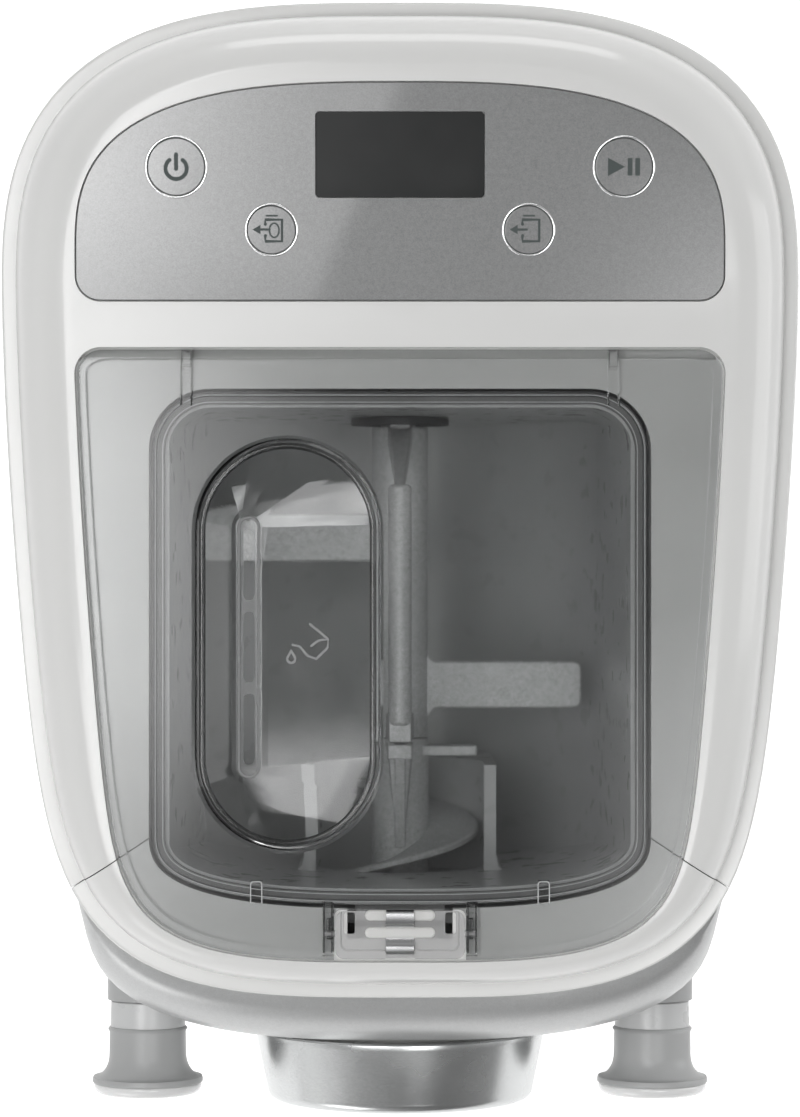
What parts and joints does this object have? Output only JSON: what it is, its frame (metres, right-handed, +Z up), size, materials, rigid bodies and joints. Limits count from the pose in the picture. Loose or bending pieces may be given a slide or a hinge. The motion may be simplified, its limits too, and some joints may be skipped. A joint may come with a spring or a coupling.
{
  "type": "electric pasta maker",
  "caption": "Upright kitchen appliance with a clear hinged lid over a kneading chamber, a button console, a front extruding nut, locking knobs and a disc drawer.",
  "frame": {"origin": "on the table, centred below the whole object", "axes": "+X the user's right, -Y the extruding front, +Z up"},
  "size_m": [0.215, 0.3046, 0.307],
  "materials": {
    "housing": "glossy white moulding",
    "base": "fine matt moulding",
    "rubber": "matt",
    "steel": "satin",
    "panel": "fine metallic sparkle under a clear coat",
    "display": "glossy dark window",
    "bright_ring": "polished",
    "board": "solder mask",
    "dark_plastic": "fine matt moulding",
    "inner_plastic": "fine matt moulding",
    "aluminium": "cast",
    "brass": "machined",
    "gear_plastic": "satin",
    "chamber": "smoked satin",
    "stirrer": "fine metallic sparkle",
    "knob_grey": "fine matt moulding",
    "knob_cap": "glossy white",
    "brushed_silver": "brushed, satin",
    "disc_plastic": "satin",
    "clear_lid": "clear grey-tinted moulding",
    "lid_seal": "soft matt",
    "latch": "translucent pale moulding"
  },
  "bodies": {
    "root": {"main_housing": "housing", "top_cover": "housing", "base_plate": "base", "rubber_feet": "rubber", "base_screws": "steel", "rear_grille": "housing", "cord_gland": "rubber", "control_panel": "panel", "display_window": "display", "display_module": "dark_plastic", "button_rings": "bright_ring", "control_board": "board", "chassis": "inner_plastic", "gearbox_cover": "aluminium", "gearbox_screws": "steel", "output_bearings": "steel", "gear_bushes": "brass", "motor_can": "steel", "motor_end_bell": "steel", "motor_magnets": "dark_plastic", "power_board": "board", "mixing_chamber": "chamber", "shaft_seal": "rubber", "knob_inserts": "brass", "lid_switch": "dark_plastic"},
    "mixer": {"output_shaft": "steel", "output_wheel": "gear_plastic", "stirring_rod": "stirrer", "extrusion_screw": "stirrer"},
    "second_gear": {"second_shaft": "steel", "second_wheel": "gear_plastic"},
    "first_gear": {"first_shaft": "steel", "first_wheel": "gear_plastic"},
    "motor": {"motor_rotor": "steel", "motor_pinion": "brass", "motor_fan": "dark_plastic"},
    "front": {"front_rim": "housing", "front_frame": "knob_grey", "front_skin": "brushed_silver", "extrusion_tube": "inner_plastic", "shaping_disc": "disc_plastic"},
    "nut": {"extrusion_nut": "brushed_silver"},
    "left_knob": {"knob_left": "knob_grey", "knob_cap_left": "knob_cap", "knob_stud_left": "steel"},
    "right_knob": {"knob_right": "knob_grey", "knob_cap_right": "knob_cap", "knob_stud_right": "steel"},
    "lid": {"lid": "clear_lid", "lid_seal": "lid_seal", "lid_pins": "clear_lid"},
    "latch": {"lid_latch": "latch", "latch_spring": "bright_ring"},
    "drawer": {"drawer_front": "housing", "drawer_tray": "inner_plastic"},
    "power_key": {"power_button": "panel"},
    "play_key": {"play_button": "panel"},
    "auto_key": {"auto_button": "panel"},
    "extrude_key": {"extrude_button": "panel"}
  },
  "joints": [
    {"name": "motor_spin", "type": "hinge", "parent": "root", "child": "motor", "pos_m": [0, 0.06, 0.08624], "axis": [0, 1, 0], "continuous": true},
    {"name": "first_gear_spin", "type": "hinge", "parent": "root", "child": "first_gear", "pos_m": [-0.00558, 0.09, 0.12181], "axis": [0, 1, 0], "continuous": true},
    {"name": "second_gear_spin", "type": "hinge", "parent": "root", "child": "second_gear", "pos_m": [0.02817, 0.08, 0.16202], "axis": [0, 1, 0], "continuous": true},
    {"name": "mixer_spin", "type": "hinge", "parent": "root", "child": "mixer", "pos_m": [0, 0, 0.215], "axis": [0, 1, 0], "continuous": true},
    {"name": "front_slide", "type": "slide", "parent": "root", "child": "front", "axis": [0, -1, 0], "range_m": [0, 0.08]},
    {"name": "nut_turn", "type": "hinge", "parent": "front", "child": "nut", "pos_m": [0, -0.1435, 0.215], "axis": [0, 1, 0], "continuous": true},
    {"name": "left_knob_turn", "type": "hinge", "parent": "front", "child": "left_knob", "pos_m": [-0.0725, -0.138, 0.215], "axis": [0, 1, 0], "continuous": true},
    {"name": "right_knob_turn", "type": "hinge", "parent": "front", "child": "right_knob", "pos_m": [0.0725, -0.138, 0.215], "axis": [0, 1, 0], "continuous": true},
    {"name": "lid_hinge", "type": "hinge", "parent": "root", "child": "lid", "pos_m": [0, 0.05525, 0.297], "axis": [-1, 0, 0], "range_deg": [0, 85]},
    {"name": "latch_tilt", "type": "hinge", "parent": "lid", "child": "latch", "pos_m": [0, -0.0973, 0.2985], "axis": [-1, 0, 0], "range_deg": [0, 10], "stiffness_Nm_per_rad": 0.02},
    {"name": "drawer_slide", "type": "slide", "parent": "root", "child": "drawer", "axis": [0, -1, 0], "range_m": [0, 0.06]},
    {"name": "power_key_press", "type": "slide", "parent": "root", "child": "power_key", "axis": [0, 0.1045, -0.9945], "range_m": [0, 0.0008], "stiffness_N_per_m": 400},
    {"name": "play_key_press", "type": "slide", "parent": "root", "child": "play_key", "axis": [0, 0.1045, -0.9945], "range_m": [0, 0.0008], "stiffness_N_per_m": 400},
    {"name": "auto_key_press", "type": "slide", "parent": "root", "child": "auto_key", "axis": [0, 0.1045, -0.9945], "range_m": [0, 0.0008], "stiffness_N_per_m": 400},
    {"name": "extrude_key_press", "type": "slide", "parent": "root", "child": "extrude_key", "axis": [0, 0.1045, -0.9945], "range_m": [0, 0.0008], "stiffness_N_per_m": 400}
  ],
  "couplings": [
    {"joint": "first_gear_spin", "follows": "motor_spin", "ratio": -0.2},
    {"joint": "second_gear_spin", "follows": "motor_spin", "ratio": 0.05},
    {"joint": "mixer_spin", "follows": "motor_spin", "ratio": -0.016667}
  ]
}
